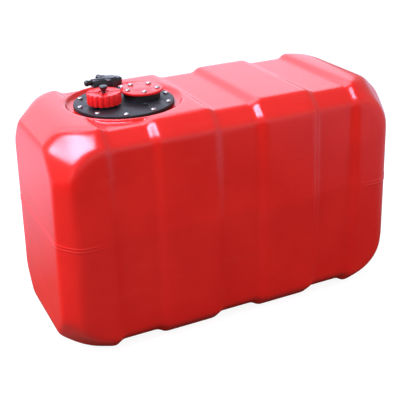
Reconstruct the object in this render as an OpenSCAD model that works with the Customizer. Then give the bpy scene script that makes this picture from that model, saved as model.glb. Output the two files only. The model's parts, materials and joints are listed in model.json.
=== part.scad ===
// Inboard fuel tank: a moulded tank with strap bands, a bolted flange plate,
// a fluted filler cap with a vent screw, a gauge cover and a fuel outlet head.
// Origin: middle of the footprint, on the surface that the tank stands on.
// +X runs along the tank, away from the filler end, +Y to the back, +Z up.

/* [Tank] */
// Length over the two ends
tank_l = 652; // [610:1:720]
// Width over the front and back faces, at the parting line
tank_w = 303; // [290:1:340]
// Height over the raised sections
tank_h = 404; // [340:1:460]
// Thickness of the moulded wall
wall = 6; // [4:0.5:8]
// Run of the slope between the top and an end, along the tank
bevel_x = 33; // [25:1:60]
// Drop of the slope between the top and an end
bevel_z = 32; // [25:1:50]
// Run of the slope between the underside and an end, along the tank
under_x = 24; // [20:1:60]
// Rise of the slope between the underside and an end
under_z = 30; // [25:1:50]
// Half-length of the round corners of the front and back faces
face_x = 53; // [44:1:56]
// Half-height of the round corners of the front and back faces
face_z = 55; // [44:1:64]
// Reach of the sloped strip over the top, from the front or back face
top_leg = 27; // [20:1:36]
// Reach of the sloped strip down the front and back faces
side_leg = 28; // [18:1:32]
// Reach of the sloped strip over an end, from the front or back face
end_leg = 33; // [26:1:46]
// Reach of the sloped strip along the front and back faces, from an end
edge_leg = 24; // [18:1:30]
// Further reach of the sloped strip at the tank's corners
facet = 40; // [10:1:44]
// Length of face that the rounding of an edge takes up
edge_cut = 6; // [3:0.5:8]
// How much each face leans out towards the parting line
draft = 7; // [1:0.5:8]
// How far each end leans out from its top to its foot
end_lean = 7; // [0:0.5:10]
// Height of the parting line over the middle of the tank
parting = 14; // [0:1:24]

/* [Strap bands] */
// Length of raised top between an end corner and the outer band
band_gap = 6; // [5:0.5:12]
// Width of a band between the raised sections
band_w = 92; // [80:1:96]
// Run of the slope on each side of a band
band_slope = 12; // [9:0.5:18]
// Depth of a band
band_d = 7.5; // [4:0.5:8]

/* [Flange] */
// Distance of the flange's middle from the foot of the filler end
flange_end = 177; // [172:1:190]
// Depth of the round recess that holds the flange
recess_d = 9; // [8:0.5:12]
// Run of the recess's sloped wall
recess_slope = 7.5; // [5:0.5:9]
// Floor left free round the flange plate
recess_gap = 8; // [5:0.5:9]
// Width of the rim where the recess stands clear of a strap band
rim_w = 2.5; // [2:0.5:4]
// Thickness of the seat under the flange
seat_t = 14; // [12.5:0.5:18]
// Radius of the flange plate
plate_r = 86; // [84:0.5:88]
// Thickness of the flange plate
plate_t = 5; // [4:0.5:7]
// Distance of the screws from the plate's rim
screw_margin = 8; // [7:0.5:9]
// Number of flange screws
screw_count = 10; // [8:1:12]
// Width of the gasket's land inside the screws
land_w = 16; // [14:0.5:17]
// Thickness of the flange gasket
gasket_t = 2; // [1.5:0.5:3]
// Height of the collar that centres the plate in the opening
spigot_h = 8; // [5:0.5:10]

/* [Filler neck and cap] */
// Place of the filler neck on the plate, along the tank
filler_x = -37; // [-39:0.5:-35]
// Place of the filler neck on the plate, across the tank
filler_y = -7; // [-10:0.5:-4]
// Radius of the filler bore
filler_bore_r = 18; // [15:0.5:19]
// Wall of the filler neck
neck_wall = 4; // [3:0.5:5]
// Height of the neck over the plate
neck_h = 17; // [15:0.5:20]
// Reach of the neck below the plate
neck_drop = 26; // [18:1:40]
// Radius of the cap over its lobes
cap_r = 29; // [28:0.5:30]
// Thickness of the cap's top
cap_t = 4; // [3:0.5:5]
// Gap between the cap's skirt and the plate
cap_gap = 4; // [3:0.5:6]
// Number of lobes round the cap
lobes = 18; // [18:1:22]
// Radius of a lobe
lobe_r = 5; // [4.5:0.25:6]
// Thickness of the cap's seal
cap_seal_t = 2; // [1.5:0.5:3]
// Width of the grooves across the cap's top
groove_w = 2.6; // [1.6:0.2:3.4]
// Depth of the grooves across the cap's top
groove_d = 1.6; // [1:0.2:2]
// Radius of the round well in the cap's top
well_r = 9; // [8:0.5:12]
// Depth of the well
well_d = 2; // [1:0.2:2.4]
// Radius of the vent screw's knob at its top
knob_r = 7; // [5:0.5:8]
// Height of the vent screw's knob
knob_h = 11; // [9:0.5:16]
// Radius of the vent screw's shank
vent_r = 2; // [1.5:0.25:2.5]

/* [Gauge cover] */
// Place of the gauge opening on the plate, along the tank
sender_x = 36.5; // [34:0.5:37]
// Place of the gauge opening on the plate, across the tank
sender_y = 8; // [5:0.5:10]
// Thickness of the cover
cover_t = 4; // [3:0.5:5]
// Radius of the circle of cover screws
cover_pitch_r = 27; // [25:0.5:28]
// Distance of the cover's screws from its rim
cover_margin = 9.5; // [8:0.5:10]
// Reach of the cover's lip past the boss
cover_lip = 4.5; // [3:0.5:5]
// Number of cover screws
cover_screws_n = 5; // [4:1:6]
// Turn of the cover's screws
cover_turn = 42; // [30:1:54]
// Wall between the opening under the cover and the cover's inserts
sender_wall = 2; // [1.5:0.5:4]
// Height of the boss
boss_h = 8.5; // [8:0.5:14]
// Thickness of the cover's gasket
cover_gasket_t = 1.5; // [1:0.5:2.5]

/* [Outlet] */
// Place of the outlet on the plate, along the tank
outlet_x = -8; // [-12:0.5:-4]
// Place of the outlet on the plate, across the tank
outlet_y = 40; // [38:0.5:42]
// Height of the outlet head over the plate
head_h = 33; // [31:0.5:38]
// Radius of the head's turret
turret_r = 13; // [12:0.5:14]
// Reach of the head's wedge towards the left hose tail, from the turret's axis
wedge_l = 33; // [28:0.5:34]
// Half-width of the wedge at its foot
wedge_w = 12; // [9:0.5:13]
// Half-width of the wedge's crown
crown_w = 5; // [3:0.5:7]
// Height of the wedge's upright sides
shoulder = 15; // [10:0.5:18]
// Reach of the head's elbow, from the turret's axis
elbow_l = 10; // [6:0.5:12]
// Radius of the elbow's round end
elbow_r = 11; // [9:0.5:12]
// Height of the elbow's underside over the plate
elbow_z = 18; // [17:0.5:20]
// Bevel of the upper edges of the turret and the elbow
bevel = 3; // [1.5:0.5:4]
// Radius of the threaded stem below the head
stem_r = 8; // [7.5:0.25:9]
// Height of the hose tails over the plate
tail_z = 27; // [26:0.5:28]
// Reach of the left hose tail's tip, from the turret's axis
left_reach = 46; // [42:0.5:54]
// Reach of the rear hose tail's tip, from the turret's axis
back_reach = 31; // [28:0.5:40]
// Direction of the rear hose tail
back_turn = 118; // [105:1:135]
// Radius of the hose tails
barb_r = 4.5; // [4:0.25:5]
// Radius of the bead at a hose tail's tip
bead_r = 5.2; // [4.6:0.1:6]
// Length of a hose tail outside its socket
barb_l = 12; // [11:0.5:13]
// Radius of the pick-up tube
tube_r = 5; // [4:0.25:5.5]
// Radius of the fuel passages
duct_r = 3; // [2:0.25:3.5]
// Height of the strainer's foot over the tank's floor
foot_gap = 6; // [4:0.5:20]
// Length of the strainer
strainer_l = 42; // [30:1:60]
// Radius of the strainer
strainer_r = 9; // [8:0.5:12]
// Radius of the small plug's head
plug_r = 3.4; // [3:0.1:4.5]

/* [Hardware] */
// Radius of the screws' thread
thread_r = 2.5; // [2:0.25:3]
// Radius of the screws' heads
head_r = 4.6; // [4.2:0.1:5]
// Height of the screws' heads
screw_head_h = 2.8; // [2:0.1:3.4]
// Radius of the brass inserts
insert_r = 4; // [3.6:0.1:4.2]
// Length of the brass inserts
insert_l = 10; // [8:0.5:10]
// Length of the cover's inserts
cover_insert_l = 8; // [7:0.5:9]
// Play between pieces that are fitted together
play = 0.05; // [0.03:0.01:0.1]
// Gap round pieces that pass through a hole freely
free_gap = 0.4; // [0.3:0.05:0.6]

/* [Hidden] */
$fn = 72;
over = 1;

// Tank outline
half_w = tank_w / 2 - draft;
half_h = tank_h / 2;
corner_x = face_x + edge_leg;
corner_z = face_z + side_leg;
arc_x = tank_l / 2 - end_lean - corner_x;
arc_z = half_h - corner_z;
top_cut = 24;
end_cut = 11;
diag = sqrt(2) - 1;
arc_steps = 5;
side_steps = 3;
inner_steps = 2;
edge_steps = 2;
bands = [for (k = [-1:1]) k * (arc_x - band_gap - band_w / 2)];
band_round = min(edge_cut, band_slope / 3, band_gap - over);

// Flange levels and radii
flange_x = flange_end - tank_l / 2;
seat_z = tank_h - recess_d;
plate_z = seat_z + gasket_t;
top_z = plate_z + plate_t;
floor_r = plate_r + recess_gap;
recess_r = floor_r + recess_slope;
rim_r = recess_r + rim_w;
rim_drop = 0.4;
rim_span = band_w + 2 * edge_cut;
seat_top = recess_d - band_d - rim_drop;
screw_r = plate_r - screw_margin;
opening_r = screw_r - land_w;
spigot_r = opening_r - free_gap;
spigot_w = 2.3;
gasket_inset = 1;
plate_edge = 2;
screw_tip = 1;
clear_r = thread_r + free_gap;
head_crown = 0.7;

// Cap levels, over the plate's top
neck_r = filler_bore_r + neck_wall;
cap_roof = neck_h + cap_seal_t;
cap_top = cap_roof + cap_t;
skirt_r = neck_r + free_gap;
cap_edge = 2;
lobe_crest = 14;
lobe_steps = 5;
groove_turn = 70;
vent_z = cap_top - well_d;
seal_inset = 0.5;
lug_turn = 205;
lug_w = 7;
lug_reach = 3;
lug_gap = 1;
vent_seal_t = 1;
vent_land = 1.4;
vent_tip = 2;
knob_neck = vent_r + 1.2;
knob_foot = 2;
knob_rim = 2;
knob_edge = 1;
boss_top = boss_h + cover_gasket_t;
cover_edge = 1.2;
cover_r = cover_pitch_r + cover_margin;
boss_r = cover_r - cover_lip;
sender_bore_r = cover_pitch_r - insert_r - sender_wall;

// Outlet, from the plate's top
outlet_seal_t = 1.5;
nut_h = 8;
nut_r = 12.5;
head_step = 2;
wedge_drop = 9;
stem_tail = 14;
stem_l = plate_t + nut_h + stem_tail;
socket_d = 7;
riser_r = duct_r + 0.6;
socket_w = 1.5;
seal_margin = 2;
bead_l = 5;
bead_run = 2;
tip_cut = 0.5;
tails = [[180, left_reach], [back_turn, back_reach]];
tube_grip = 8;
tube_stop = 4;
foot_z = wall + band_d + foot_gap;
strainer_skin = 1.5;
strainer_floor = 2;
strainer_slots = 6;
slot_w = 4;
slot_land = 2;
slot_l = strainer_l - strainer_floor - tube_grip - 2 * slot_land;
plug_x = 22;
plug_y = -43;
plug_h = 3;
plug_edge = 1.5;

// Points that round the corner b of the path a, b, c
function bend(a, b, c, cut, n) =
    let (p = b + (a - b) / norm(a - b) * cut, q = b + (c - b) / norm(c - b) * cut)
    n == 0 ? [b]
           : [for (i = [0:n]) let (t = i / n) (1 - t) * (1 - t) * p + 2 * t * (1 - t) * b + t * t * q];

// Outline of an end corner from a slope's run and drop, from upright to level, as [angle, reach]
function outline(x, z, steps) =
    let (top = [0, corner_z],
         high = [corner_x - x, corner_z],
         low = [corner_x, corner_z - z],
         end = [corner_x, 0],
         path = concat([top], bend(top, high, low, top_cut, steps), bend(high, low, end, end_cut, steps),
                       [for (i = [1:side_steps]) end + [0, low[1] - end_cut] * (1 - i / side_steps)]))
    [for (p = path) [atan2(p[0], p[1]), norm(p)]];

// Distance from a face corner's centre to the face's round corner, at an angle from upright
function face_reach(a) = 1 / norm([sin(a) / face_x, cos(a) / face_z]);

// Reach of the sloped strip from the side face, at an angle from upright
function strip_leg(a) = top_leg + (end_leg - top_leg) * pow(sin(a), 2) + facet * pow(sin(2 * a), 2);

// Edge of the cross-section, from the side face to the top, as [from the side plane, from the outline]
function edge(inset, turn, n) =
    let (side = [inset, half_h],
         low = [inset, turn[1] - face_reach(turn[0]) + diag * inset],
         high = [strip_leg(turn[0]) + diag * inset, inset],
         top = [half_w, inset])
    concat(bend(side, low, high, edge_cut, n), bend(low, high, top, edge_cut, n));

// Depth of the outside along the tank, as [place, depth], with round edges
function band_path(n) =
    let (path = [for (x = bands) for (p = [[-band_w / 2, 0], [band_slope - band_w / 2, band_d],
                                           [band_w / 2 - band_slope, band_d], [band_w / 2, 0]])
                 [x + p[0], p[1]]],
         last = len(path) - 1)
    [for (i = [0:last])
        each bend(i == 0 ? path[0] - [band_w, 0] : path[i - 1], path[i],
                  i == last ? path[last] + [band_w, 0] : path[i + 1], band_round, n)];

// Stations along the tank, as [centre, side, upper turn, lower turn, depth]
function stations(steps, n) =
    let (upper = outline(bevel_x, bevel_z, steps),
         lower = outline(under_x, under_z, steps),
         last = len(upper) - 1)
    concat([for (i = [last:-1:0]) [-arc_x, -1, upper[i], lower[i], 0]],
           [for (p = band_path(n)) [p[0], 1, upper[0], lower[0], p[1]]],
           [for (i = [0:last]) [arc_x, 1, upper[i], lower[i], 0]]);

// Growth of the width at a height from the tank's middle, greatest at the parting line
function lean(z) =
    let (part = z > parting ? (half_h - z) / (half_h - parting) : (half_h + z) / (half_h + parting))
    1 + part * draft / half_w;

// Growth of the length at a height, from the end's top to its foot
function stretch(z) = end_lean * (arc_z - z) / (2 * arc_z);

// Point of a station at a distance out from its centre and a place y across the tank, at a height
function outside(station, out, y, z) =
    let (share = out / corner_x)
    [station[0] + station[1] * (out + stretch(z) * share * share), y * lean(z), half_h + z];

function skin_point(station, turn, p, side, lid) =
    let (r = turn[1] - p[1])
    outside(station, r * sin(turn[0]), side * (half_w - p[0]), lid * (arc_z + r * cos(turn[0])));

function waist_point(station, p, q, side) =
    let (upper = station[2], lower = station[3])
    outside(station, ((upper[1] - p[1]) * sin(upper[0]) + (lower[1] - q[1]) * sin(lower[0])) / 2,
            side * (half_w - p[0]), parting);

// Closed ring of a station: over the top, the back waist, under the bottom, the front waist
function ring(station, inset, n) =
    let (upper = edge(inset + station[4], station[2], n),
         lower = edge(inset + station[4], station[3], n),
         q = len(upper))
    concat([for (i = [0:q - 1]) skin_point(station, station[2], upper[i], -1, 1)],
           [for (i = [q - 1:-1:0]) skin_point(station, station[2], upper[i], 1, 1)],
           [waist_point(station, upper[0], lower[0], 1)],
           [for (i = [0:q - 1]) skin_point(station, station[3], lower[i], 1, -1)],
           [for (i = [q - 1:-1:0]) skin_point(station, station[3], lower[i], -1, -1)],
           [waist_point(station, upper[0], lower[0], -1)]);

function split_quad(a, b, c, d) = [[a, b, c], [a, c, d]];

// End wall: strips between the upper and the lower half of the ring that starts at point s
function end_wall(s, q) =
    concat([for (j = [0:2 * q - 2]) each split_quad(s + j, s + j + 1, s + 4 * q - j - 1, s + 4 * q - j)],
           [[s, s + 4 * q, s + 4 * q + 1], [s + 2 * q - 1, s + 2 * q, s + 2 * q + 1]]);

function flip(faces) = [for (f = faces) [f[0], f[2], f[1]]];

// Body of the tank, drawn in by an inset
module tank_loft(inset, steps, n) {
    rows = stations(steps, n);
    q = len(edge(inset, rows[0][2], n));
    m = 4 * q + 2;
    last = len(rows) - 1;
    sides = [for (i = [0:last - 1]) for (j = [0:m - 1])
                let (k = (j + 1) % m)
                each split_quad(i * m + j, i * m + k, (i + 1) * m + k, (i + 1) * m + j)];
    polyhedron(points = [for (r = rows) each ring(r, inset, n)],
               faces = concat(sides, flip(end_wall(0, q)), end_wall(last * m, q)));
}

// Copies of a piece on a circle
module on_circle(count, r, turn = 0) {
    for (i = [0:count - 1])
        rotate([0, 0, turn + i * 360 / count])
            translate([r, 0, 0])
                children();
}

module at_flange(z) {
    translate([flange_x, 0, z])
        children();
}

module at_filler(z) {
    at_flange(top_z + z)
        translate([filler_x, filler_y, 0])
            children();
}

module at_sender(z) {
    at_flange(top_z + z)
        translate([sender_x, sender_y, 0])
            children();
}

module at_outlet(z) {
    at_flange(top_z + z)
        translate([outlet_x, outlet_y, 0])
            children();
}

module tube(r_out, r_in, h) {
    difference() {
        cylinder(r = r_out, h = h);
        translate([0, 0, -over])
            cylinder(r = r_in, h = h + 2 * over);
    }
}

// Disc with a rounded upper edge
module round_disc(r, h, edge_r) {
    rotate_extrude()
        polygon(concat([[0, 0], [r, 0]],
                       [for (a = [0:22.5:90]) [r - edge_r + edge_r * cos(a), h - edge_r + edge_r * sin(a)]],
                       [[0, h]]));
}

module pan_screw(shank_l) {
    translate([0, 0, -shank_l])
        cylinder(r = thread_r - play, h = shank_l + play);
    round_disc(head_r, screw_head_h, screw_head_h * head_crown);
}

// Rim of the recess where it crosses a strap band
module flange_rim() {
    intersection() {
        at_flange(seat_z)
            cylinder(r = rim_r, h = recess_d - rim_drop);
        translate([bands[0] - rim_span / 2, -half_w, seat_z - over])
            cube([rim_span, 2 * half_w, recess_d + over]);
    }
}

module tank_shell() {
    color("#d3212d")
        difference() {
            union() {
                tank_loft(0, arc_steps, edge_steps);
                at_flange(seat_z - seat_t)
                    cylinder(r = rim_r, h = seat_t + seat_top);
                flange_rim();
            }
            at_flange(seat_z)
                cylinder(r1 = floor_r, r2 = recess_r + recess_slope * over / recess_d, h = recess_d + over);
            difference() {
                tank_loft(wall, inner_steps, 0);
                at_flange(seat_z - seat_t)
                    cylinder(r = rim_r, h = seat_t + recess_d);
            }
            at_flange(seat_z - seat_t - over)
                cylinder(r = opening_r, h = seat_t + 2 * over);
            at_flange(seat_z - insert_l)
                on_circle(screw_count, screw_r)
                    cylinder(r = insert_r + play, h = insert_l + over);
        }
}

module flange_inserts() {
    color("#b8923f")
        at_flange(seat_z - insert_l)
            on_circle(screw_count, screw_r)
                tube(insert_r, thread_r, insert_l);
}

module flange_gasket() {
    color("#1c1c1c")
        at_flange(seat_z)
            difference() {
                tube(plate_r - gasket_inset, opening_r + gasket_inset, gasket_t);
                on_circle(screw_count, screw_r)
                    translate([0, 0, -over])
                        cylinder(r = clear_r, h = gasket_t + 2 * over);
            }
}

module flange_plate() {
    color("#232528")
        difference() {
            union() {
                at_flange(plate_z)
                    round_disc(plate_r, plate_t, plate_edge);
                at_flange(plate_z - spigot_h)
                    tube(spigot_r, spigot_r - spigot_w, spigot_h + over);
                at_filler(-plate_t - neck_drop)
                    cylinder(r = neck_r, h = neck_drop + plate_t + neck_h);
                at_filler(-plate_t)
                    rotate([0, 0, lug_turn])
                        translate([neck_r - over, -lug_w / 2, 0])
                            cube([cap_r - neck_r + lug_reach + over, lug_w, plate_t + cap_gap - lug_gap]);
                at_sender(-plate_t)
                    cylinder(r = boss_r, h = plate_t + boss_h);
            }
            at_flange(plate_z - over)
                on_circle(screw_count, screw_r)
                    cylinder(r = clear_r, h = plate_t + 2 * over);
            at_filler(-plate_t - neck_drop - over)
                cylinder(r = filler_bore_r, h = neck_drop + plate_t + neck_h + 2 * over);
            at_sender(-plate_t - over)
                cylinder(r = sender_bore_r, h = plate_t + boss_h + 2 * over);
            at_sender(boss_h - cover_insert_l)
                on_circle(cover_screws_n, cover_pitch_r, cover_turn)
                    cylinder(r = insert_r + play, h = cover_insert_l + over);
            at_outlet(-plate_t - over)
                cylinder(r = stem_r + free_gap, h = plate_t + 2 * over);
            at_plug(-plate_t - over)
                cylinder(r = thread_r + play, h = plate_t + 2 * over);
        }
}

module flange_screws() {
    color("#c9ccd0")
        at_flange(top_z)
            on_circle(screw_count, screw_r)
                pan_screw(plate_t + gasket_t + insert_l - screw_tip);
}

// Outline of the gap between two lobes of the cap, out along the radius through the gap
function lobe_gap() =
    let (c = cap_r - lobe_r,
         half = 180 / lobes,
         valley = half + asin(c * sin(half) / lobe_r),
         side = [for (i = [0:lobe_steps])
                    let (a = half - lobe_crest - (valley - lobe_crest) * i / lobe_steps)
                    c * [cos(half), sin(half)] + lobe_r * [cos(a), sin(a)]])
    concat(side,
           [for (i = [lobe_steps - 1:-1:0]) [side[i][0], -side[i][1]]],
           [[cap_r + over, -side[0][1]], [cap_r + over, side[0][1]]]);

module filler_cap() {
    color("#d3212d")
        at_filler(0)
            difference() {
                translate([0, 0, cap_gap])
                    round_disc(cap_r, cap_top - cap_gap, cap_edge);
                on_circle(lobes, 0, 180 / lobes)
                    linear_extrude(cap_top + over)
                        polygon(lobe_gap());
                translate([0, 0, cap_gap - over])
                    cylinder(r = skirt_r, h = cap_roof - cap_gap + over);
                cylinder(r = vent_r + play, h = cap_top + over);
                translate([0, 0, vent_z])
                    cylinder(r = well_r, h = well_d + over);
                for (a = [0, 90])
                    rotate([0, 0, groove_turn + a])
                        translate([-cap_r, -groove_w / 2, cap_top - groove_d])
                            cube([2 * cap_r, groove_w, groove_d + over]);
            }
}

module cap_seal() {
    color("#1c1c1c")
        at_filler(neck_h)
            tube(neck_r, filler_bore_r + seal_inset, cap_seal_t);
}

module vent_screw() {
    color("#232528")
        at_filler(vent_z) {
            translate([0, 0, vent_seal_t])
                rotate_extrude()
                    polygon([[0, 0], [knob_neck, 0], [knob_neck, knob_foot],
                             [knob_r, knob_h - knob_rim - knob_edge], [knob_r, knob_h - knob_edge],
                             [knob_r - knob_edge, knob_h], [0, knob_h]]);
            translate([0, 0, well_d - cap_t - vent_tip])
                cylinder(r = vent_r, h = cap_t - well_d + vent_tip + vent_seal_t + over);
        }
}

module vent_seal() {
    color("#1c1c1c")
        at_filler(vent_z)
            tube(vent_r + vent_land, vent_r + play, vent_seal_t);
}

module sender_cover() {
    color("#d3212d")
        at_sender(boss_top)
            difference() {
                round_disc(cover_r, cover_t, cover_edge);
                on_circle(cover_screws_n, cover_pitch_r, cover_turn)
                    translate([0, 0, -over])
                        cylinder(r = clear_r, h = cover_t + 2 * over);
            }
}

module sender_gasket() {
    color("#1c1c1c")
        at_sender(boss_h)
            difference() {
                tube(boss_r, sender_bore_r, cover_gasket_t);
                on_circle(cover_screws_n, cover_pitch_r, cover_turn)
                    translate([0, 0, -over])
                        cylinder(r = clear_r, h = cover_gasket_t + 2 * over);
            }
}

module cover_screws() {
    color("#c9ccd0")
        at_sender(boss_top + cover_t)
            on_circle(cover_screws_n, cover_pitch_r, cover_turn)
                pan_screw(cover_t + cover_gasket_t + cover_insert_l - screw_tip);
}

module cover_inserts() {
    color("#b8923f")
        at_sender(boss_h - cover_insert_l)
            on_circle(cover_screws_n, cover_pitch_r, cover_turn)
                tube(insert_r, thread_r, cover_insert_l);
}

// Upright round post with a bevelled upper edge
module bevelled_post(r, h) {
    rotate_extrude()
        polygon([[0, 0], [r, 0], [r, h - bevel], [r - bevel, h], [0, h]]);
}

// Upright bar from the turret's axis to a round end at a reach, with bevelled upper edges
module bevelled_bar(reach, r, h) {
    rotate([0, -90, 0])
        linear_extrude(reach)
            polygon([[0, -r], [h - bevel, -r], [h, bevel - r], [h, r - bevel], [h - bevel, r], [0, r]]);
    translate([-reach, 0, 0])
        bevelled_post(r, h);
}

// Lays a piece that stands on +Z along a hose tail's axis
// Wedge from the turret to the left hose tail, with sloped sides
module head_wedge() {
    intersection() {
        translate([0, wedge_w, 0])
            rotate([90, 0, 0])
                linear_extrude(2 * wedge_w)
                    polygon([[0, 0], [0, head_h - bevel], [-turret_r, head_h - bevel],
                             [-wedge_l, tail_z + duct_r], [-wedge_l, tail_z - wedge_drop], [-turret_r, 0]]);
        rotate([0, -90, 0])
            linear_extrude(wedge_l)
                polygon([[0, -wedge_w], [shoulder, -wedge_w], [head_h, -crown_w],
                         [head_h, crown_w], [shoulder, wedge_w], [0, wedge_w]]);
    }
}

module along_tail(turn) {
    at_outlet(tail_z)
        rotate([0, 0, turn])
            rotate([0, 90, 0])
                children();
}

module outlet_head() {
    color("#1f2123")
        difference() {
            union() {
                at_outlet(0) {
                    bevelled_post(turret_r, head_h);
                    head_wedge();
                    translate([0, 0, elbow_z])
                        mirror([1, 0, 0])
                            bevelled_bar(elbow_l, elbow_r, head_h - head_step - elbow_z);
                }
                for (t = tails)
                    along_tail(t[0])
                        cylinder(r = barb_r + socket_w, h = t[1] - barb_l);
                at_outlet(-stem_l)
                    cylinder(r = stem_r, h = stem_l + over);
            }
            at_outlet(-stem_l - over)
                cylinder(r = tube_r + play, h = stem_l + over);
            at_outlet(-over)
                cylinder(r = riser_r, h = tail_z + riser_r + over);
            at_outlet(-over)
                tube(turret_r - seal_margin, stem_r, over + outlet_seal_t);
            for (t = tails) {
                along_tail(t[0])
                    cylinder(r = duct_r, h = t[1]);
                along_tail(t[0])
                    translate([0, 0, t[1] - barb_l - socket_d])
                        cylinder(r = barb_r + play, h = t[1]);
            }
        }
}

module outlet_seal() {
    color("#1c1c1c")
        at_outlet(0)
            tube(turret_r - seal_margin - play, stem_r + play, outlet_seal_t);
}

// Hose tail with a bead at its tip, from its socket to its tip
module hose_tail(t) {
    l = barb_l + socket_d;
    along_tail(t[0])
        translate([0, 0, t[1] - l])
            rotate_extrude()
                polygon([[duct_r, 0], [barb_r, 0], [barb_r, l - bead_l - bead_run], [bead_r, l - bead_l],
                         [bead_r, l - bead_run], [barb_r - tip_cut, l], [duct_r, l]]);
}

module outlet_barb() {
    color("#1f2123")
        hose_tail(tails[0]);
}

module return_barb() {
    color("#1f2123")
        hose_tail(tails[1]);
}

module outlet_nut() {
    color("#232528")
        at_outlet(-plate_t - nut_h)
            difference() {
                cylinder(r = nut_r, h = nut_h, $fn = 6);
                translate([0, 0, -over])
                    cylinder(r = stem_r + play, h = nut_h + 2 * over);
            }
}

module pickup_tube() {
    color("#a9adb2")
        translate([flange_x + outlet_x, outlet_y, foot_z + strainer_l - tube_grip])
            tube(tube_r, duct_r, top_z - foot_z - strainer_l + tube_grip - tube_stop);
}

module pickup_strainer() {
    color("#d8d4c4")
        translate([flange_x + outlet_x, outlet_y, foot_z])
            difference() {
                cylinder(r = strainer_r, h = strainer_l);
                translate([0, 0, strainer_floor])
                    cylinder(r = strainer_r - strainer_skin, h = strainer_l - strainer_floor - tube_grip);
                translate([0, 0, strainer_l - tube_grip - over])
                    cylinder(r = tube_r + play, h = tube_grip + 2 * over);
                for (i = [0:strainer_slots - 1])
                    rotate([0, 0, i * 360 / strainer_slots])
                        translate([0, -slot_w / 2, strainer_floor + slot_land])
                            cube([strainer_r + over, slot_w, slot_l]);
            }
}

module at_plug(z) {
    at_flange(top_z + z)
        translate([plug_x, plug_y, 0])
            children();
}

module vent_plug() {
    color("#1f2123")
        at_plug(0) {
            round_disc(plug_r, plug_h, plug_edge);
            translate([0, 0, -plate_t])
                cylinder(r = thread_r, h = plate_t + play);
        }
}

tank_shell();
flange_inserts();
flange_gasket();
flange_plate();
flange_screws();
filler_cap();
cap_seal();
vent_screw();
vent_seal();
sender_cover();
sender_gasket();
cover_screws();
cover_inserts();
outlet_head();
outlet_seal();
outlet_barb();
return_barb();
outlet_nut();
pickup_tube();
pickup_strainer();
vent_plug();
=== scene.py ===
# Inboard fuel tank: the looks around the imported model
import json
import math

import bmesh
import bpy
import numpy as np
from mathutils import Matrix, Vector


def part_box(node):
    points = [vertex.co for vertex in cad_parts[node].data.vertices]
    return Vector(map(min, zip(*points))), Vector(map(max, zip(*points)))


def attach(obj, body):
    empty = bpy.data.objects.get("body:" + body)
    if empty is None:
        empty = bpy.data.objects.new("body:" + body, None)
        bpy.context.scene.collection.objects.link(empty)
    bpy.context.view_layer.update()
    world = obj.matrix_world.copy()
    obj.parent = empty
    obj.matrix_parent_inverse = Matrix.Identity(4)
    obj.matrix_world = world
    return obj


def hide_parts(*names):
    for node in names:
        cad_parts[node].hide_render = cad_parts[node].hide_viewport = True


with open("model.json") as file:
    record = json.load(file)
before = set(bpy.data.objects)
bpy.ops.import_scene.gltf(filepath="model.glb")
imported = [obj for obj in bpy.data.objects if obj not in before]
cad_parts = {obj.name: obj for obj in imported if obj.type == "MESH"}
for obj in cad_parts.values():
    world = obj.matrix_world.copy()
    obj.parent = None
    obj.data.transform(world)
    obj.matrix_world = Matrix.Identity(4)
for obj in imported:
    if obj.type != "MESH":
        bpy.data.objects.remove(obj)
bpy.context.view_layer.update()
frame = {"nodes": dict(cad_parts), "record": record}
nodes = frame["nodes"]
scene = bpy.context.scene

# Places on the tank, in metres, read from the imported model
SEAT_LOW, SEAT_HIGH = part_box("flange_gasket")
FLANGE = (SEAT_LOW + SEAT_HIGH) / 2
SEAT_Z = SEAT_LOW.z
COVER_LOW, COVER_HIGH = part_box("sender_cover")
COVER = (COVER_LOW + COVER_HIGH) / 2

# Screws: their rings, head, thread with its tip as shares of the radius, and cross recess
FLANGE_SCREWS, FLANGE_RING_R = 10, 0.078
COVER_SCREWS, COVER_RING_R, COVER_TURN = 5, 0.027, math.radians(42)
HEAD_R, HEAD_H, HEAD_RIM, CROWN_R = 0.0046, 0.0028, 0.0007, 0.0022
THREAD_R, TIP_SHARE, TIP_RISE = 0.00245, 0.6, 0.4
CROSS_R, CROSS_W, CROSS_DEPTH, CROSS_FOOT_SHARE = 0.0021, 0.00055, 0.0013, 0.6
DOME_STEPS, SCREW_SIDES, SCREW_TURN = 6, 48, 0.8
SHARP_ANGLE = math.radians(38)
TINY = 1e-6

# Skin of the tank: voxels, plugs that close the holes for the inserts, and the share of faces kept
VOXEL, QUICK_VOXEL = 0.0025, 0.004
PLUG_R, PLUG_DEPTH, PLUG_SIDES = 0.006, 0.012, 24
KEPT_SHARE = 0.36

# Softened edges: share by the distance from the middle, none at the rim of the flange's seat
SOFT_X, SOFT_SHARE = (0.235, 0.262, 0.306, 0.318), (0.1, 1.0, 1.0, 0.25)
SOFT_LEVELS = 10
RIM_R, RIM_FADE, RIM_DEPTH = 0.104, 0.02, 0.03
SMOOTHING, SKIN_PASSES, EDGE_PASSES = 0.5, 2, 90

# Seam of the mould: full on the ends, faint on the faces between them
SEAM_BELT, SEAM_GAP, SEAM_W, SEAM_H = 0.0075, 0.0028, 0.0013, 0.0009
SEAM_CUTS, SEAM_FACE_SHARE = 2, 0.12
SEAM_FROM, SEAM_TO = 0.245, 0.3

# Core of the tank: the outside of its skin faces away from it
CORE_X, CORE_LOW, CORE_HIGH = 0.2, 0.12, 0.28

# Edges of the CAD pieces
BEVEL_W, BEVEL_STEPS, BEVEL_ANGLE = 0.0003, 2, math.radians(35)

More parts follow.
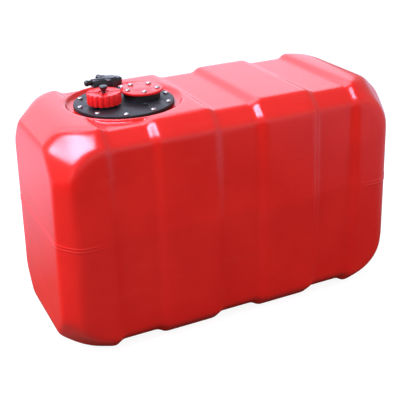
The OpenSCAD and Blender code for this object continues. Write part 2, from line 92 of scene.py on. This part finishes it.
# Textures of plastic and metal, with the streaks on the tank
TONE_SCALE, TONE_DETAIL = 9, 4
ROUGH_SCALE, ROUGH_DETAIL = 60, 5
GRAIN_DETAIL, GRAIN_STRENGTH, WAVE_SCALE = 2, 0.6, 14
METAL_TONE, METAL_ROUGH, METAL_GRAIN = 300, 700, 1200
METAL_STRENGTH, METAL_DEPTH = 0.4, 0.00004
SCUFF_SCALE, SCUFF_DETAIL, SCUFF_ROUGH, SCUFF_STRETCH = 26, 7, 0.62, (0.4, 1, 2.6)
SCUFF_STOPS, SCUFF_SHARE = (0.58, 0.8), (0.2, 0.2, 0.2)
BLACK, WHITE = (0, 0, 0), (1, 1, 1)

# Black fittings with a brighter finish than the plate
GLOSSY = ("outlet_head", "outlet_barb", "return_barb", "vent_screw")

# Camera: place, right and down directions, focal length in image widths
CAMERA_AT = Vector((-0.60783, -1.27881, 0.8323))
CAMERA_RIGHT = Vector((0.90039, -0.434141, -0.02864))
CAMERA_DOWN = Vector((-0.204907, -0.365058, -0.908155))
FOCAL = 827.34 / 400
SENSOR = 36
CLIP_NEAR, CLIP_FAR = 0.01, 100

# Studio: softboxes as name, place, direction of the long side, size, power and colour
AIM = Vector((0, 0, 0.25))
COOL = (0.7, 0.76, 1.0)
LILAC = (0.8, 0.7, 1.0)
PLAIN = (1.0, 0.98, 0.96)
LAMPS = [
    ("key", (-1.17, -0.36, 1.93), (0.65, -0.64, 0.4), (2.2, 0.36), 54, LILAC),
    ("back", (0.1, 2.6, 1.35), (1, 0, 0), (4.4, 2.1), 43, COOL),
    ("top", (-0.3, 0.95, 2.1), (1, 0, 0), (2.2, 1.5), 30, COOL),
    ("left", (-2.2, 1.3, 1.0), (0.5, 0.86, 0), (1.4, 1.2), 54, PLAIN),
    ("side", (-2.4, -0.8, 0.9), (-0.32, 0.95, 0), (1.0, 1.0), 15, PLAIN),
    ("fill", (0.7, -2.8, 1.05), (1, 0, 0), (3.6, 1.7), 27, PLAIN),
    ("right", (2.4, -1.0, 1.0), (0.38, 0.92, 0), (1.4, 1.2), 24, PLAIN),
]
# Softboxes that show in reflections
SHINE = ("key", "back", "top")

# World, and the floor: its tones, and how far out reflections see it turn white
SKY, SKY_LIGHT = (0.93, 0.96, 1.0), 0.4
FLOOR_R, FLOOR_DROP = 12, 0.0004
FLOOR_PALE, FLOOR_DIM = (0.85, 0.85, 0.85), (0.12, 0.09, 0.07)
FLOOR_WHITE, FLOOR_GLOW, FLOOR_BOUNCE = 0.76, 1.18, 0.12
SWEEPS = [("Y", (0.15, 0.8), 0.88), ("X", (0.45, 1.2), 0.5)]


# Meshes
def link(obj):
    scene.collection.objects.link(obj)
    return obj


def applied(obj, name):
    """A new object with obj's modifiers made into mesh. obj goes."""
    graph = bpy.context.evaluated_depsgraph_get()
    mesh = bpy.data.meshes.new_from_object(obj.evaluated_get(graph))
    mesh.name = name
    bpy.data.objects.remove(obj)
    return link(bpy.data.objects.new(name, mesh))


def largest_part(mesh):
    """Keeps only the largest connected part of a mesh."""
    bm = bmesh.new()
    bm.from_mesh(mesh)
    seen, parts = set(), []
    for start in bm.verts:
        if start in seen:
            continue
        part, todo = [], [start]
        seen.add(start)
        while todo:
            v = todo.pop()
            part.append(v)
            for e in v.link_edges:
                w = e.other_vert(v)
                if w not in seen:
                    seen.add(w)
                    todo.append(w)
        parts.append(part)
    parts.sort(key=len)
    for part in parts[:-1]:
        bmesh.ops.delete(bm, geom=part, context="VERTS")
    bm.to_mesh(mesh)
    bm.free()


def add_cylinder(bm, at, r, z0, z1, sides):
    middle = Matrix.Translation(Vector((at[0], at[1], (z0 + z1) / 2)))
    bmesh.ops.create_cone(bm, cap_ends=True, segments=sides, radius1=r, radius2=r,
                          depth=z1 - z0, matrix=middle)


def coords(mesh):
    co = np.empty(len(mesh.vertices) * 3)
    mesh.vertices.foreach_get("co", co)
    return co.reshape(-1, 3)


def smooth(obj):
    obj.data.polygons.foreach_set("use_smooth", [True] * len(obj.data.polygons))
    obj.data.update()


# Shader nodes
def new_material(name):
    mat = bpy.data.materials.new(name)
    mat.use_nodes = True
    tree, links = mat.node_tree.nodes, mat.node_tree.links
    return mat, tree, links, tree["Principled BSDF"]


def noise(tree, links, scale, detail=3.0, rough=0.55, stretch=None):
    where = tree.new("ShaderNodeTexCoord")
    out = where.outputs["Object"]
    if stretch:
        turn = tree.new("ShaderNodeMapping")
        turn.inputs["Scale"].default_value = stretch
        links.new(out, turn.inputs["Vector"])
        out = turn.outputs["Vector"]
    tex = tree.new("ShaderNodeTexNoise")
    tex.inputs["Scale"].default_value = scale
    tex.inputs["Detail"].default_value = detail
    tex.inputs["Roughness"].default_value = rough
    links.new(out, tex.inputs["Vector"])
    return tex.outputs["Fac"]


def ramp(tree, links, fac, low, high, stops=(0.35, 0.65)):
    node = tree.new("ShaderNodeValToRGB")
    for element, at, colour in zip(node.color_ramp.elements, stops, (low, high)):
        element.position = at
        element.color = (*colour, 1)
    links.new(fac, node.inputs["Fac"])
    return node.outputs["Color"]


def spread(tree, links, fac, low, high, span=(0, 1)):
    """Takes fac from the range span to the range from low to high."""
    node = tree.new("ShaderNodeMapRange")
    values = {"From Min": span[0], "From Max": span[1], "To Min": low, "To Max": high}
    for socket, value in values.items():
        node.inputs[socket].default_value = value
    links.new(fac, node.inputs["Value"])
    return node.outputs["Result"]


def reckon(tree, links, operation, *terms):
    """A Math node. Each term is a number or another node's output."""
    node = tree.new("ShaderNodeMath")
    node.operation = operation
    for socket, term in zip(node.inputs, terms):
        if isinstance(term, (int, float)):
            socket.default_value = term
        else:
            links.new(term, socket)
    return node.outputs[0]


def bump(tree, links, heights, bsdf):
    """Chains bumps, each (height, strength, distance in metres)."""
    last = None
    for height, strength, distance in heights:
        node = tree.new("ShaderNodeBump")
        node.inputs["Strength"].default_value = strength
        node.inputs["Distance"].default_value = distance
        links.new(height, node.inputs["Height"])
        if last:
            links.new(last, node.inputs["Normal"])
        last = node.outputs["Normal"]
    links.new(last, bsdf.inputs["Normal"])


# Materials, by their slots
materials = {}


def scuffed(tree, links, colour, scuff):
    """Faint paler streaks, along the tank, where it has been rubbed."""
    streaks = noise(tree, links, SCUFF_SCALE, SCUFF_DETAIL, SCUFF_ROUGH, SCUFF_STRETCH)
    mix = tree.new("ShaderNodeMix")
    mix.data_type = "RGBA"
    links.new(ramp(tree, links, streaks, BLACK, SCUFF_SHARE, SCUFF_STOPS), mix.inputs["Factor"])
    links.new(colour, mix.inputs["A"])
    mix.inputs["B"].default_value = (*scuff, 1)
    return mix.outputs["Result"]


def plastic(name, dark, light, rough, grain, depth, wave_depth=0.0, specular=0.5, scuff=None):
    """Moulded plastic or rubber: grain is the scale of its texture and depth its height."""
    mat, tree, links, bsdf = new_material(name)
    colour = ramp(tree, links, noise(tree, links, TONE_SCALE, TONE_DETAIL), dark, light)
    if scuff:
        colour = scuffed(tree, links, colour, scuff)
    links.new(colour, bsdf.inputs["Base Color"])
    patches = noise(tree, links, ROUGH_SCALE, ROUGH_DETAIL)
    links.new(spread(tree, links, patches, *rough), bsdf.inputs["Roughness"])
    bsdf.inputs["Specular IOR Level"].default_value = specular
    heights = [(noise(tree, links, grain, GRAIN_DETAIL), GRAIN_STRENGTH, depth)]
    if wave_depth:
        waves = noise(tree, links, WAVE_SCALE, GRAIN_DETAIL)
        heights.append((waves, GRAIN_STRENGTH, wave_depth))
    bump(tree, links, heights, bsdf)
    materials[name] = mat


def metal(name, dark, light, rough, stretch):
    """Bare metal, with its marks drawn out along an axis by stretch."""
    mat, tree, links, bsdf = new_material(name)
    bsdf.inputs["Metallic"].default_value = 1
    tone = noise(tree, links, METAL_TONE, stretch=stretch)
    links.new(ramp(tree, links, tone, dark, light), bsdf.inputs["Base Color"])
    patches = noise(tree, links, METAL_ROUGH, stretch=stretch)
    links.new(spread(tree, links, patches, *rough), bsdf.inputs["Roughness"])
    grain = noise(tree, links, METAL_GRAIN, GRAIN_DETAIL, stretch=stretch)
    bump(tree, links, [(grain, METAL_STRENGTH, METAL_DEPTH)], bsdf)
    materials[name] = mat


plastic("tank_red", (0.57, 0.004, 0.0015), (0.63, 0.007, 0.003), (0.19, 0.27), 1500, 0.00005,
        wave_depth=0.0004, specular=0.8, scuff=(0.66, 0.045, 0.03))
plastic("moulded_red", (0.62, 0.008, 0.009), (0.68, 0.013, 0.014), (0.22, 0.3), 1800, 0.00003,
        specular=0.7)
plastic("black_plastic", (0.005, 0.0055, 0.0065), (0.01, 0.0105, 0.012), (0.36, 0.48),
        2200, 0.00006, specular=0.32)
plastic("black_gloss", (0.005, 0.0065, 0.008), (0.009, 0.0105, 0.0125), (0.2, 0.28),
        2200, 0.00003, specular=0.75)
plastic("black_rubber", (0.008, 0.008, 0.008), (0.014, 0.014, 0.014), (0.65, 0.8), 2600, 0.00006)
plastic("strainer_plastic", (0.62, 0.58, 0.46), (0.7, 0.66, 0.54), (0.42, 0.55), 1800, 0.00004)
metal("screw_steel", (0.46, 0.45, 0.43), (0.64, 0.63, 0.6), (0.2, 0.34), (1, 1, 1))
metal("insert_brass", (0.55, 0.4, 0.16), (0.7, 0.54, 0.25), (0.28, 0.4), (1, 1, 4))
metal("tube_metal", (0.58, 0.59, 0.61), (0.72, 0.73, 0.75), (0.28, 0.42), (1, 1, 0.05))


def dress(obj, slot):
    obj.data.materials.clear()
    obj.data.materials.append(materials[slot])


# Tank
def screw_places(at, count, r, turn=0.0):
    turns = [turn + 2 * math.pi * i / count for i in range(count)]
    return [(at[0] + r * math.cos(a), at[1] + r * math.sin(a)) for a in turns]


def voxelled_shell():
    """The CAD shell as one even mesh, with the holes for the inserts closed."""
    bm = bmesh.new()
    bm.from_mesh(nodes["tank_shell"].data)
    bmesh.ops.remove_doubles(bm, verts=bm.verts, dist=TINY)
    for at in screw_places(FLANGE, FLANGE_SCREWS, FLANGE_RING_R):
        add_cylinder(bm, at, PLUG_R, SEAT_Z - PLUG_DEPTH, SEAT_Z, PLUG_SIDES)
    mesh = bpy.data.meshes.new("tank")
    bm.to_mesh(mesh)
    bm.free()
    body = link(bpy.data.objects.new("tank", mesh))
    remesh = body.modifiers.new("voxels", "REMESH")
    remesh.mode = "VOXEL"
    remesh.voxel_size = VOXEL
    body = applied(body, "tank")
    largest_part(body.data)
    return body


def soften(body):
    """Rounds the edges of the moulding, most at the ends and not at the rim of the seat."""
    co = coords(body.data)
    from_flange = np.hypot(co[:, 0] - FLANGE.x, co[:, 1] - FLANGE.y)
    away = np.clip((from_flange - RIM_R) / RIM_FADE, 0.0, 1.0)
    away[co[:, 2] < SEAT_Z - RIM_DEPTH] = 1.0
    soft = away * np.interp(np.abs(co[:, 0]), SOFT_X, SOFT_SHARE)
    levels = np.round(soft * SOFT_LEVELS)
    group = body.vertex_groups.new(name="soft")
    for level in range(SOFT_LEVELS + 1):
        group.add(np.flatnonzero(levels == level).tolist(), level / SOFT_LEVELS, "REPLACE")
    for name, passes, where in (("every", SKIN_PASSES, ""), ("edges", EDGE_PASSES, "soft")):
        step = body.modifiers.new(name, "SMOOTH")
        step.factor, step.iterations, step.vertex_group = SMOOTHING, passes, where
    return applied(body, "tank")


def faces_out(at, normal):
    """Whether a point of the skin is outside: its normal leads away from the tank's core."""
    core_x = max(-CORE_X, min(CORE_X, at.x))
    core_z = max(CORE_LOW, min(CORE_HIGH, at.z))
    return (at - Vector((core_x, 0, core_z))).dot(normal) > 0


def add_seam(mesh):
    """Two low ridges with a groove between them, where the halves of the mould met."""
    co = coords(nodes["tank_shell"].data)
    middle = co[np.argmax(co[:, 1])][2]
    bm = bmesh.new()
    bm.from_mesh(mesh)

    def belt():
        bm.normal_update()
        return [v for v in bm.verts
                if abs(v.co.z - middle) < SEAM_BELT and faces_out(v.co, v.normal)]

    coarse = set(belt())
    edges = [e for e in bm.edges if e.verts[0] in coarse and e.verts[1] in coarse]
    bmesh.ops.subdivide_edges(bm, edges=edges, cuts=SEAM_CUTS, use_grid_fill=True)
    for v in belt():
        off = v.co.z - middle
        ridges = sum(math.exp(-((off - side * SEAM_GAP) / SEAM_W) ** 2) for side in (-1, 1))
        end = max(0, min(1, (abs(v.co.x) - SEAM_FROM) / (SEAM_TO - SEAM_FROM)))
        share = SEAM_FACE_SHARE + (1 - SEAM_FACE_SHARE) * end
        v.co += v.normal * SEAM_H * ridges * share
    bm.to_mesh(mesh)
    bm.free()


def make_tank():
    """Moulded tank: the CAD shell with the soft edges and the seam of a moulding."""
    body = soften(voxelled_shell())
    add_seam(body.data)
    fewer = body.modifiers.new("fewer", "DECIMATE")
    fewer.ratio = KEPT_SHARE
    return applied(body, "tank")


# Screws
def cross_reach(turn):
    """Reach of a screw's cross recess at an angle."""
    a = abs((turn + math.pi / 4) % (math.pi / 2) - math.pi / 4)
    return min(CROSS_R / math.cos(a), CROSS_W / max(math.sin(a), TINY))


def add_screw(bm, at, top, tip, turn):
    """Pan-head screw with a cross recess: its head ends at the height top and its shank at tip."""
    foot = top - HEAD_H
    rings = [(THREAD_R * TIP_SHARE, tip), (THREAD_R, tip + THREAD_R * TIP_RISE),
             (THREAD_R, foot), (HEAD_R, foot)]
    for k in range(DOME_STEPS + 1):
        a = math.pi / 2 * k / DOME_STEPS
        rings.append((CROWN_R + (HEAD_R - CROWN_R) * math.cos(a),
                      foot + HEAD_RIM + (HEAD_H - HEAD_RIM) * math.sin(a)))
    turns = [2 * math.pi * i / SCREW_SIDES for i in range(SCREW_SIDES)]
    loops = [[ring] * SCREW_SIDES for ring in rings]
    for share, z in ((1.0, top), (CROSS_FOOT_SHARE, top - CROSS_DEPTH)):
        loops.append([(share * cross_reach(a), z) for a in turns])
    rows = [[bm.verts.new((at[0] + r * math.cos(turn + a), at[1] + r * math.sin(turn + a), z))
             for (r, z), a in zip(loop, turns)] for loop in loops]
    for low, high in zip(rows, rows[1:]):
        for i in range(SCREW_SIDES):
            j = (i + 1) % SCREW_SIDES
            bm.faces.new((low[i], low[j], high[j], high[i]))
    bm.faces.new(reversed(rows[0]))
    bm.faces.new(rows[-1])


def make_screws(node, centre, count, r, turn=0.0):
    """The screws of a CAD node, with domed heads and cross recesses."""
    low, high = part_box(node)
    bm = bmesh.new()
    for i, at in enumerate(screw_places(centre, count, r, turn)):
        add_screw(bm, at, high.z, low.z, SCREW_TURN * i)
    bmesh.ops.recalc_face_normals(bm, faces=bm.faces)
    mesh = bpy.data.meshes.new(node + "_cross")
    bm.to_mesh(mesh)
    bm.free()
    screws = link(bpy.data.objects.new(node + "_cross", mesh))
    smooth(screws)
    mesh.set_sharp_from_angle(angle=SHARP_ANGLE)
    dress(screws, "screw_steel")
    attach(screws, "tank")
    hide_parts(node)


def round_edges(obj):
    """Small bevels on a CAD piece, by modifiers alone."""
    weld = obj.modifiers.new("weld", "WELD")
    weld.merge_threshold = TINY
    bevel = obj.modifiers.new("bevel", "BEVEL")
    bevel.width, bevel.segments = BEVEL_W, BEVEL_STEPS
    bevel.limit_method, bevel.angle_limit = "ANGLE", BEVEL_ANGLE
    bevel.use_clamp_overlap = True
    bevel.harden_normals = True
    smooth(obj)


tank = make_tank()
smooth(tank)
dress(tank, "tank_red")
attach(tank, "tank")
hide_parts("tank_shell")

make_screws("flange_screws", FLANGE, FLANGE_SCREWS, FLANGE_RING_R)
make_screws("cover_screws", COVER, COVER_SCREWS, COVER_RING_R, COVER_TURN)

slot_of = {s["node"]: s["material_slot"] for s in frame["record"]["subparts"]}
for name, obj in nodes.items():
    dress(obj, "black_gloss" if name in GLOSSY else slot_of[name])
    if name != "tank_shell":
        round_edges(obj)


# Stage: pale floor, soft light, white round about
def make_floor():
    """White to the camera apart from the tank's shadow, and white far out in reflections."""
    mesh = bpy.data.meshes.new("floor")
    r, z = FLOOR_R, -FLOOR_DROP
    mesh.from_pydata([(-r, -r, z), (r, -r, z), (r, r, z), (-r, r, z)], [], [(0, 1, 2, 3)])
    floor = link(bpy.data.objects.new("floor", mesh))
    mat, tree, links, bsdf = new_material("floor")
    tree.remove(bsdf)
    path = tree.new("ShaderNodeLightPath")
    rays = ("Camera", "Diffuse", "Glossy")
    camera, diffuse, glossy = (path.outputs[f"Is {ray} Ray"] for ray in rays)
    paper = tree.new("ShaderNodeBsdfDiffuse")
    pale = reckon(tree, links, "MULTIPLY_ADD", diffuse, FLOOR_BOUNCE, camera)
    links.new(ramp(tree, links, pale, FLOOR_DIM, FLOOR_PALE, (0, 1)), paper.inputs["Color"])
    glow = tree.new("ShaderNodeEmission")
    glow.inputs["Strength"].default_value = FLOOR_GLOW
    links.new(ramp(tree, links, camera, COOL, WHITE, (0, 1)), glow.inputs["Color"])
    where = tree.new("ShaderNodeTexCoord")
    axes = tree.new("ShaderNodeSeparateXYZ")
    links.new(where.outputs["Object"], axes.inputs["Vector"])
    far_out = [spread(tree, links, axes.outputs[axis], 0, most, span)
               for axis, span, most in SWEEPS]
    mirrored = reckon(tree, links, "MAXIMUM", *far_out)
    seen = reckon(tree, links, "MULTIPLY", camera, FLOOR_WHITE)
    white = reckon(tree, links, "MULTIPLY_ADD", glossy, mirrored, seen)
    mix = tree.new("ShaderNodeMixShader")
    links.new(white, mix.inputs["Fac"])
    links.new(paper.outputs["BSDF"], mix.inputs[1])
    links.new(glow.outputs["Emission"], mix.inputs[2])
    links.new(mix.outputs["Shader"], tree["Material Output"].inputs["Surface"])
    mesh.materials.append(mat)


def make_world():
    """White to the camera, and a dimmer sky for light and reflections."""
    world = bpy.data.worlds.new("studio")
    scene.world = world
    world.use_nodes = True
    tree, links = world.node_tree.nodes, world.node_tree.links
    back = tree["Background"]
    camera = tree.new("ShaderNodeLightPath").outputs["Is Camera Ray"]
    links.new(ramp(tree, links, camera, SKY, WHITE, (0, 1)), back.inputs["Color"])
    links.new(reckon(tree, links, "MAXIMUM", camera, SKY_LIGHT), back.inputs["Strength"])


def make_lamp(name, at, along, size, power, colour):
    """A softbox that faces the tank."""
    lamp = bpy.data.lights.new(name, "AREA")
    lamp.shape, lamp.size, lamp.size_y = "RECTANGLE", size[0], size[1]
    lamp.energy, lamp.color = power, colour
    back = (Vector(at) - AIM).normalized()
    up = back.cross(Vector(along)).normalized()
    turn = Matrix((up.cross(back), up, back)).transposed()
    obj = link(bpy.data.objects.new(name, lamp))
    obj.visible_glossy = name in SHINE
    obj.matrix_world = Matrix.Translation(at) @ turn.to_4x4()


def make_camera():
    data = bpy.data.cameras.new("camera")
    data.sensor_width, data.lens = SENSOR, FOCAL * SENSOR
    data.clip_start, data.clip_end = CLIP_NEAR, CLIP_FAR
    camera = link(bpy.data.objects.new("camera", data))
    back = CAMERA_RIGHT.cross(-CAMERA_DOWN)
    turn = Matrix((CAMERA_RIGHT, -CAMERA_DOWN, back)).transposed()
    camera.matrix_world = Matrix.Translation(CAMERA_AT) @ turn.to_4x4()
    scene.camera = camera


make_floor()
make_world()
for lamp in LAMPS:
    make_lamp(*lamp)
make_camera()
scene.view_settings.view_transform = "Standard"
